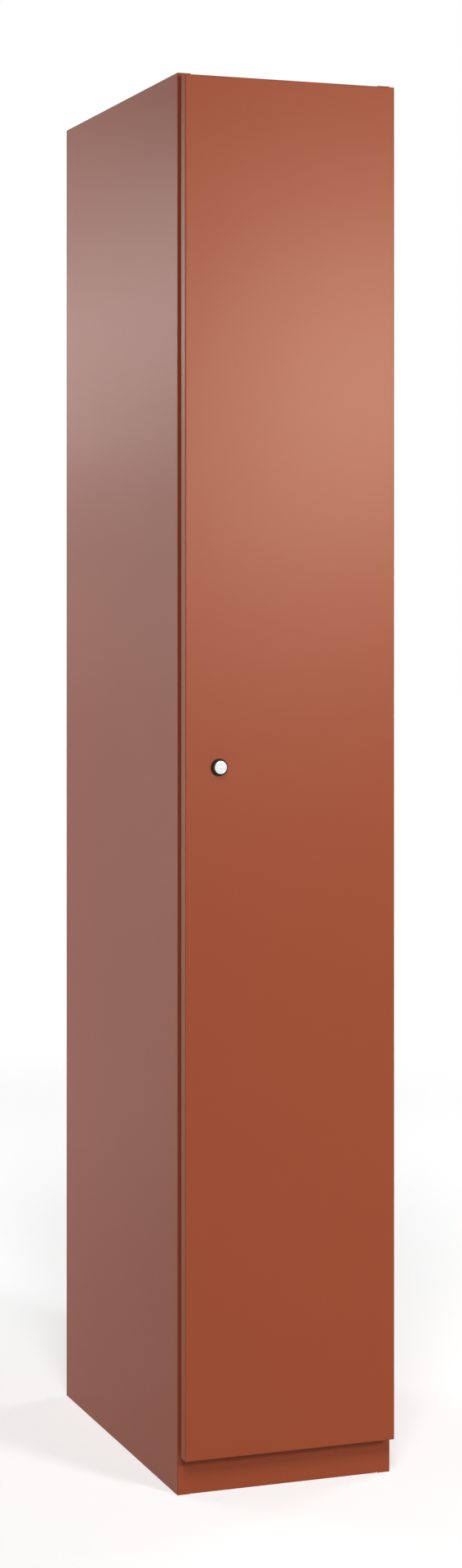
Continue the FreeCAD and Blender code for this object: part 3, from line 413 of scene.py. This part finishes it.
def hexagon_nut(flats, height, bore):
    """A hexagon nut on Z, its lower face at zero, with its corners turned away above and below.

    The cones that turn the corners run on past its faces and its corners, and stand half a step
    round from the hexagon, so that no surface or edge of theirs lies in one of the nut's.
    """
    bpy.ops.object.select_all(action="DESELECT")
    bpy.ops.mesh.primitive_cylinder_add(
        vertices=6, radius=flats / 2 / math.cos(math.pi / 6), depth=height, location=(0, 0, height / 2))
    nut = bpy.context.object
    nut.name = "hexagon_nut"
    bpy.ops.object.transform_apply(location=True, rotation=True, scale=True)
    inner = NUT_CONE_INNER * flats
    outer = NUT_CONE_OUTER * flats
    rise = NUT_CONE_SLOPE * (NUT_FACE * flats - inner)
    drop = NUT_CONE_SLOPE * (outer - NUT_FACE * flats)
    turned = turned_piece("turned_corners", [
        (inner, -rise), (outer, drop), (outer, height - drop), (inner, height + rise)],
        sides=NUT_CONE_SIDES)
    half_step = math.radians(180 / NUT_CONE_SIDES)
    turned.data.transform(Matrix.Rotation(half_step, 4, "Z"))
    combine(nut, turned, "INTERSECT")
    mouth = NUT_MOUTH * flats
    hole = turned_piece("threaded_hole", [
        (bore / 2 + 2 * mouth, -mouth), (bore / 2, mouth), (bore / 2, height - mouth),
        (bore / 2 + 2 * mouth, height + mouth)], sides=40)
    combine(nut, hole, "DIFFERENCE")
    bpy.ops.object.shade_smooth_by_angle(angle=math.radians(28))
    return nut


foot_middles = {}
for name in ("front_left", "front_right", "rear_left", "rear_right"):
    low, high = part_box(f"levelling_foot_{name}")
    foot_middles[name] = Vector(((low.x + high.x) / 2, (low.y + high.y) / 2, 0))
low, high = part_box("foot_nuts")
nut_places = [Matrix.Translation(middle + Vector((0, 0, low.z))) for middle in foot_middles.values()]
foot_nut = hexagon_nut(flats=13 * MM, height=high.z - low.z, bore=8.1 * MM)
foot_nuts = copies(foot_nut, nut_places, "bracket_nuts")
fit(foot_nuts, "carcass", "zinc_steel", zinc_steel, "foot_nuts")


# Levelling feet: four plated steel feet, a turned round pad and an M8 stem with a rolled thread.
# A slot across the stem's top lets a screwdriver turn it through the hole in the floor panel.

# Half the ridge's width as a share of the pitch, and its steps in one turn:
RIDGE_SHARE = 0.47
RIDGE_STEPS = 18


def thread_ridge(radius, depth, pitch, bottom, top):
    """The ridge of a screw thread about Z, closed at both ends, from the bottom to the top."""
    bpy.ops.object.select_all(action="DESELECT")
    bpy.ops.mesh.primitive_circle_add(
        vertices=4, radius=1, location=(radius, 0, bottom), rotation=(math.pi / 2, 0, 0))
    ridge = bpy.context.object
    ridge.name = "thread_ridge"
    ridge.scale = (depth, RIDGE_SHARE * pitch, 1)
    bpy.ops.object.transform_apply(location=True, rotation=True, scale=True)
    sweep = ridge.modifiers.new("rolled_thread", "SCREW")
    sweep.screw_offset = pitch
    sweep.iterations = int((top - bottom) / pitch)
    sweep.steps = RIDGE_STEPS
    sweep.render_steps = RIDGE_STEPS
    bpy.ops.object.modifier_apply(modifier=sweep.name)
    bpy.ops.object.mode_set(mode="EDIT")
    bpy.ops.mesh.select_all(action="SELECT")
    bpy.ops.mesh.remove_doubles(threshold=0.001 * MM)
    bpy.ops.mesh.fill_holes(sides=0)
    bpy.ops.mesh.normals_make_consistent(inside=False)
    bpy.ops.object.mode_set(mode="OBJECT")
    bpy.ops.object.shade_smooth_by_angle(angle=math.radians(30))
    return ridge


def joined(name, *pieces):
    """Several modelled pieces as one."""
    bpy.ops.object.select_all(action="DESELECT")
    for piece in pieces:
        piece.select_set(True)
    bpy.context.view_layer.objects.active = pieces[0]
    bpy.ops.object.join()
    pieces[0].name = name
    return pieces[0]


STEM_ROOT = 3.28 * MM
STEM_PITCH = 1.25 * MM
STEM_RIDGE = 0.7 * MM
STEM_TOP = 56 * MM
THREAD_START = 9 * MM
SLOT_DEPTH = 2.5 * MM
SLOT_WIDTH = 1.4 * MM
SLOT_LENGTH = 12 * MM


def levelling_foot():
    """One foot on Z, standing at zero."""
    root = STEM_ROOT / MM
    top = STEM_TOP / MM
    foot = turned_piece("levelling_foot", in_millimetres(
        (13.4, 0.0), (14.4, 0.3), (15.0, 1.1), (15.0, 3.0), (14.7, 3.7), (13.6, 4.3), (9.0, 6.5),
        (8.2, 6.9), (7.6, 7.0), (4.2, 7.0), (root, 7.9), (root, top - 0.7), (2.9, top)), sides=48)
    combine(foot, plain_box((SLOT_WIDTH, SLOT_LENGTH, 2 * SLOT_DEPTH), (0, 0, STEM_TOP)), "DIFFERENCE")
    bpy.ops.object.shade_smooth_by_angle(angle=math.radians(38))
    thread_top = STEM_TOP - SLOT_DEPTH - STEM_PITCH
    ridge = thread_ridge(STEM_ROOT, STEM_RIDGE, STEM_PITCH, THREAD_START, thread_top)
    return joined("levelling_foot", foot, ridge)


foot_pattern = levelling_foot()
for name, middle in foot_middles.items():
    foot = one_copy(foot_pattern, Matrix.Translation(middle))
    foot.name = f"screw_foot_{name}"
    fit(foot, f"foot_{name}", "zinc_steel", zinc_steel, f"levelling_foot_{name}")
bpy.data.objects.remove(foot_pattern)


# Floor plugs: black polyethylene caps pushed into the four access holes above the feet.
# Each has a low domed head with a thin rim, and a hollow stem.

floor_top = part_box("floor_panel")[1].z
plug = turned_piece("floor_plug", in_millimetres(
    (4.6, 0.0), (4.7, -0.3), (4.7, -5.0), (5.9, -5.0), (5.9, 0.0), (8.5, 0.0), (8.5, 0.35), (8.3, 0.62),
    (7.6, 0.8), (6.9, 1.15), (5.6, 1.5), (3.6, 1.75), (1.2, 1.8)), sides=40)
plug_places = [
    Matrix.Translation(middle + Vector((0, 0, floor_top))) for middle in foot_middles.values()]
floor_plugs = copies(plug, plug_places, "access_hole_plugs")
fit(floor_plugs, "carcass", "black_plastic", black_plastic, "floor_plugs")


# Door: a folded steel tray with turned-in edges, hung over the carcass front, and a channel stiffener
# spot welded down its inside. Both are powder coated with the carcass.

coat(powder_coat, "door_skin", "door_stiffener")

STIFFENER_SHEET = 1 * MM
STIFFENER_WELDS = 15
STIFFENER_WELD_EDGE = 8 * MM
STIFFENER_WELD_END = 25 * MM
low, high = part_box("door_stiffener")
weld_places = [
    Matrix.Translation((x, low.y + STIFFENER_SHEET, z)) @ facing_back
    for x in (low.x + STIFFENER_WELD_EDGE, high.x - STIFFENER_WELD_EDGE)
    for z in evenly(low.z + STIFFENER_WELD_END, high.z - STIFFENER_WELD_END, STIFFENER_WELDS)]
stiffener_welds = copies(spot_weld(), weld_places, "door_stiffener_welds")
fit(stiffener_welds, "door", "powder_coat", powder_coat)


# Hinges: three pressed steel lugs welded to the right stile, three brackets welded inside the door,
# and plated pins through both, each turning in a white nylon bush.

HINGE_LEVELS = ("lower", "middle", "upper")
coat(powder_coat, *(f"hinge_{kind}_{level}" for kind in ("lug", "bracket") for level in HINGE_LEVELS))
coat(zinc_steel, *(f"hinge_pin_{level}" for level in HINGE_LEVELS))
nylon = finish(
    "nylon", colours=((0.72, 0.70, 0.64), (0.78, 0.76, 0.70)), gloss=(0.38, 0.5),
    grain=1200, drift=200, relief=0.01 * MM)
coat(nylon, "hinge_bushes")


# Door buffers: two soft rubber studs pulled through holes in the left stile, to shut the door quietly.
# A round-edged head stands out in front of the sheet, and a tapered bulb holds it from behind.

buffer_rubber = finish(
    "buffer_rubber", colours=((0.017, 0.017, 0.017), (0.026, 0.026, 0.025)), gloss=(0.6, 0.78),
    grain=2200, drift=140, relief=0.03 * MM)
BUFFER_HEAD_RADIUS = 4.5 * MM
BUFFER_HEAD_HEIGHT = 4.2 * MM
low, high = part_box("door_buffers")
edge = BUFFER_HEAD_RADIUS / MM
crown = BUFFER_HEAD_HEIGHT / MM
stud = turned_piece("rubber_stud", in_millimetres(
    (1.1, -5.0), (2.0, -4.8), (3.1, -2.4), (3.3, -1.6), (3.2, -1.1), (2.45, -1.0), (2.45, 0.0),
    (4.4, 0.0), (edge, 0.3), (edge, 2.9), (4.3, 3.6), (3.8, 4.05), (3.0, crown), (0.8, crown)), sides=36)
facing_front = Matrix.Rotation(math.radians(90), 4, "X")
stud_places = [
    Matrix.Translation(((low.x + high.x) / 2, low.y + BUFFER_HEAD_HEIGHT, z)) @ facing_front
    for z in (low.z + BUFFER_HEAD_RADIUS, high.z - BUFFER_HEAD_RADIUS)]
door_buffers = copies(stud, stud_places, "door_buffer_studs")
fit(door_buffers, "carcass", "buffer_rubber", buffer_rubber, "door_buffers")


# Lock housing: a black die-cast barrel with a tapered collar in front of the door. Its thread has
# two flats, which stop it turning in the door, and a plated hexagon nut pulls it tight from inside.

lock_black = finish(
    "lock_black", colours=((0.010, 0.010, 0.010), (0.014, 0.014, 0.014)), gloss=(0.30, 0.40),
    grain=1600, drift=120, relief=0.012 * MM)
low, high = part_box("lock_housing")
door_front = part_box("door_skin")[0].y
lock_middle = Vector(((low.x + high.x) / 2, door_front, (low.z + high.z) / 2))
lock_place = Matrix.Translation(lock_middle) @ facing_front
# In millimetres, like the rings:
BARREL_END = (high.y - door_front) / MM
BARREL_ROOT = 8.55
BARREL_RIDGE = 0.45
BARREL_PITCH = 1.0
BARREL_THREAD = (1 - BARREL_END, -1.2)
CAM_CLEARANCE = 0.05
# In metres:
BARREL_FLATS = 16 * MM
FLAT_CUT = (30 * MM, 4 * MM, 2 * BARREL_END * MM)

housing = turned_piece("lock_housing", in_millimetres(
    (6.6, CAM_CLEARANCE - BARREL_END), (8.2, CAM_CLEARANCE - BARREL_END), (BARREL_ROOT, 0.5 - BARREL_END),
    (BARREL_ROOT, -0.05), (BARREL_ROOT, 0.0), (11.0, 0.0), (11.25, 0.25), (11.25, 1.9), (11.1, 2.45),
    (9.25, 5.95), (9.0, 6.3), (8.8, 6.4), (8.55, 6.4), (8.45, 6.3), (8.45, 4.45), (6.55, 4.45),
    (6.55, CAM_CLEARANCE + 0.02 - BARREL_END)), sides=64)
thread = thread_ridge(
    BARREL_ROOT * MM, BARREL_RIDGE * MM, BARREL_PITCH * MM, BARREL_THREAD[0] * MM, BARREL_THREAD[1] * MM)
for part in (housing, thread):
    for side in (-1, 1):
        flat_middle = (0, side * (BARREL_FLATS / 2 + FLAT_CUT[1] / 2), -BARREL_END * MM)
        combine(part, plain_box(FLAT_CUT, flat_middle), "DIFFERENCE")
    bpy.ops.object.mode_set(mode="EDIT")
    bpy.ops.mesh.select_all(action="SELECT")
    bpy.ops.mesh.remove_doubles(threshold=0.001 * MM)
    bpy.ops.object.mode_set(mode="OBJECT")
    bpy.ops.object.shade_smooth_by_angle(angle=math.radians(30))
lock_housing = joined("lock_barrel_and_collar", housing, thread)
lock_housing.data.transform(lock_place)
fit(lock_housing, "door", "lock_black", lock_black, "lock_housing")

low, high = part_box("lock_nut")
lock_nut = hexagon_nut(flats=22 * MM, height=high.y - low.y, bore=18.3 * MM)
lock_nut.data.transform(Matrix.Translation((lock_middle.x, low.y, lock_middle.z)) @ facing_back)
lock_nut.name = "barrel_nut"
fit(lock_nut, "door", "zinc_steel", zinc_steel, "lock_nut")


# Lock core: a nickel plated plug that turns in the housing. Its flat bright face has a T-shaped keyway
# shut by a small flap, and its square tang carries a plated steel cam, held by a socket-head screw.

lock_nickel = finish(
    "lock_nickel", colours=((0.645, 0.645, 0.64), (0.685, 0.685, 0.68)), gloss=(0.10, 0.16),
    grain=2400, drift=300, relief=0.002 * MM, metallic=1.0)
# In millimetres, like the rings:
FACE_PROUD = 6.7
TANG_END = (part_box("lock_plug")[1].y - door_front) / MM
TANG_LAP = 0.5
# In metres:
TANG_WIDTH = 7 * MM
KEYWAY_WIDTH = 1.2 * MM
KEYWAY_BAR = 5.4 * MM
KEYWAY_HEIGHT = 5.6 * MM
KEYWAY_RISE = 1.9 * MM
SHUTTER_DEPTH = 0.9 * MM

core = turned_piece("lock_core", in_millimetres(
    (6.2, -BARREL_END), (6.5, 0.3 - BARREL_END), (6.5, FACE_PROUD - 2.2), (8.25, FACE_PROUD - 2.2),
    (8.4, FACE_PROUD - 2.05), (8.4, FACE_PROUD - 0.45), (8.27, FACE_PROUD - 0.17),
    (8.0, FACE_PROUD - 0.02), (7.8, FACE_PROUD), (7.3, FACE_PROUD), (7.2, FACE_PROUD - 0.07),
    (7.0, FACE_PROUD - 0.07), (6.9, FACE_PROUD), (1.0, FACE_PROUD)), sides=64)
face = FACE_PROUD * MM
stroke = plain_box(
    (KEYWAY_WIDTH, KEYWAY_HEIGHT, 2 * SHUTTER_DEPTH), (0, KEYWAY_RISE - KEYWAY_HEIGHT / 2, face))
combine(core, stroke, "DIFFERENCE")
bar = plain_box((KEYWAY_BAR, KEYWAY_WIDTH, 2 * SHUTTER_DEPTH), (0, KEYWAY_RISE - KEYWAY_WIDTH / 2, face))
combine(core, bar, "DIFFERENCE")
tang = plain_box(
    (TANG_WIDTH, TANG_WIDTH, (TANG_END - BARREL_END + TANG_LAP) * MM),
    (0, 0, -(BARREL_END + TANG_END) / 2 * MM))
combine(core, tang)
bpy.ops.object.shade_smooth_by_angle(angle=math.radians(30))
core.name = "keyed_core"
core.data.transform(lock_place)
fit(core, "lock_cylinder", "lock_nickel", lock_nickel, "lock_plug")
coat(zinc_steel, "lock_cam", "cam_screw")


# Stage: a wide pale floor, which takes the locker's soft shadow, and a white surround.
# Neither is part of the locker.

FLOOR_WIDTH = 60.0
FLOOR_SHADE = 0.7
FLOOR_GLOW_NEAR = 0.38
FLOOR_GLOW_FAR = 0.66
GLOW_RISES_FROM = 2.4
GLOW_RISES_TO = 4.4
SURROUND = 0.05
bpy.ops.object.select_all(action="DESELECT")
bpy.ops.mesh.primitive_plane_add(size=FLOOR_WIDTH, location=(0, 0, 0))
floor = bpy.context.object
floor.name = "studio_floor"


def seen_directly(tree):
    """One for camera, glossy and transmission rays, and zero for the light that falls on the locker."""
    rays = tree.nodes.new("ShaderNodeLightPath")
    direct = rays.outputs["Is Camera Ray"]
    for kind in ("Is Glossy Ray", "Is Transmission Ray"):
        either = tree.nodes.new("ShaderNodeMath")
        either.operation = "MAXIMUM"
        tree.links.new(direct, either.inputs[0])
        tree.links.new(rays.outputs[kind], either.inputs[1])
        direct = either.outputs["Value"]
    return direct


floor_paint = bpy.data.materials.new("studio_floor")
floor_paint.use_nodes = True
tree = floor_paint.node_tree
shader = tree.nodes["Principled BSDF"]
shader.inputs["Base Color"].default_value = (FLOOR_SHADE, FLOOR_SHADE, FLOOR_SHADE, 1)
shader.inputs["Roughness"].default_value = 0.9
shader.inputs["Specular IOR Level"].default_value = 0.0
shader.inputs["Emission Color"].default_value = (1, 1, 1, 1)
spot = tree.nodes.new("ShaderNodeTexCoord")
away = tree.nodes.new("ShaderNodeVectorMath")
away.operation = "LENGTH"
glow = tree.nodes.new("ShaderNodeMapRange")
glow.interpolation_type = "SMOOTHSTEP"
glow.inputs["From Min"].default_value = GLOW_RISES_FROM
glow.inputs["From Max"].default_value = GLOW_RISES_TO
glow.inputs["To Min"].default_value = FLOOR_GLOW_NEAR
glow.inputs["To Max"].default_value = FLOOR_GLOW_FAR
shown = tree.nodes.new("ShaderNodeMath")
shown.operation = "MULTIPLY"
tree.links.new(spot.outputs["Object"], away.inputs[0])
tree.links.new(away.outputs["Value"], glow.inputs["Value"])
tree.links.new(glow.outputs["Result"], shown.inputs[0])
tree.links.new(seen_directly(tree), shown.inputs[1])
tree.links.new(shown.outputs["Value"], shader.inputs["Emission Strength"])
floor.data.materials.append(floor_paint)

world = bpy.data.worlds.new("studio_surround")
world.use_nodes = True
background = world.node_tree.nodes["Background"]
background.inputs["Color"].default_value = (1, 1, 1, 1)
strength = world.node_tree.nodes.new("ShaderNodeMapRange")
strength.inputs["To Min"].default_value = SURROUND
strength.inputs["To Max"].default_value = 1.0
world.node_tree.links.new(seen_directly(world.node_tree), strength.inputs["Value"])
world.node_tree.links.new(strength.outputs["Result"], background.inputs["Strength"])
bpy.context.scene.world = world


# Lamps: square softboxes in a ring about the locker, two for the door, four for the left side and one
# for the right side, and a broad white light from high up behind the camera.

LAMP_DISTANCE = 3.6
HIGHEST_AIM = 1.2
LAMPS = {
    # name: (bearing from the front in degrees, height, width, watts)
    "door_key": (23, 1.72, 0.5, 61),
    "door_low": (18, 1.3, 0.5, 16),
    "side_wide": (-135, 0.8, 1.2, 50),
    "side_high": (-150, 2.0, 0.5, 7.8),
    "side_back": (-162, 1.75, 0.5, 2.4),
    "side_tall": (-162, 1.65, 1.4, 3.2),
    "right_fill": (112, 1.3, 1.2, 45),
}
for name, (bearing, height, width, watts) in LAMPS.items():
    light = bpy.data.lights.new(name, "AREA")
    light.shape = "SQUARE"
    light.size = width
    light.energy = watts
    lamp = bpy.data.objects.new(name, light)
    angle = math.radians(bearing)
    lamp.location = (LAMP_DISTANCE * math.sin(angle), -LAMP_DISTANCE * math.cos(angle), height)
    aim = Vector((0, 0, min(height, HIGHEST_AIM))) - lamp.location
    lamp.rotation_euler = aim.to_track_quat("-Z", "Y").to_euler()
    bpy.context.collection.objects.link(lamp)

OVERHEAD_STRENGTH = 1.85
OVERHEAD_SPREAD = 22
OVERHEAD_ELEVATION = 49
OVERHEAD_BEARING = -20
overhead = bpy.data.lights.new("overhead", "SUN")
overhead.energy = OVERHEAD_STRENGTH
overhead.angle = math.radians(OVERHEAD_SPREAD)
lamp = bpy.data.objects.new("overhead", overhead)
lamp.rotation_euler = (math.radians(90 - OVERHEAD_ELEVATION), 0, math.radians(OVERHEAD_BEARING))
bpy.context.collection.objects.link(lamp)


# Camera: standing back to the left of the locker and level, at chest height. Its lens is shifted down,
# so that the whole locker is in the picture and upright edges stay upright.

lens = bpy.data.cameras.new("photo_camera")
lens.lens = 65.98
lens.sensor_width = 36
lens.shift_y = -0.1206
camera = bpy.data.objects.new("photo_camera", lens)
camera.location = (-1.3668, -3.7719, 1.1709)
camera.rotation_euler = (math.radians(90), 0, math.radians(-20.07))
bpy.context.collection.objects.link(camera)
bpy.context.scene.camera = camera
bpy.context.scene.view_settings.view_transform = "Standard"
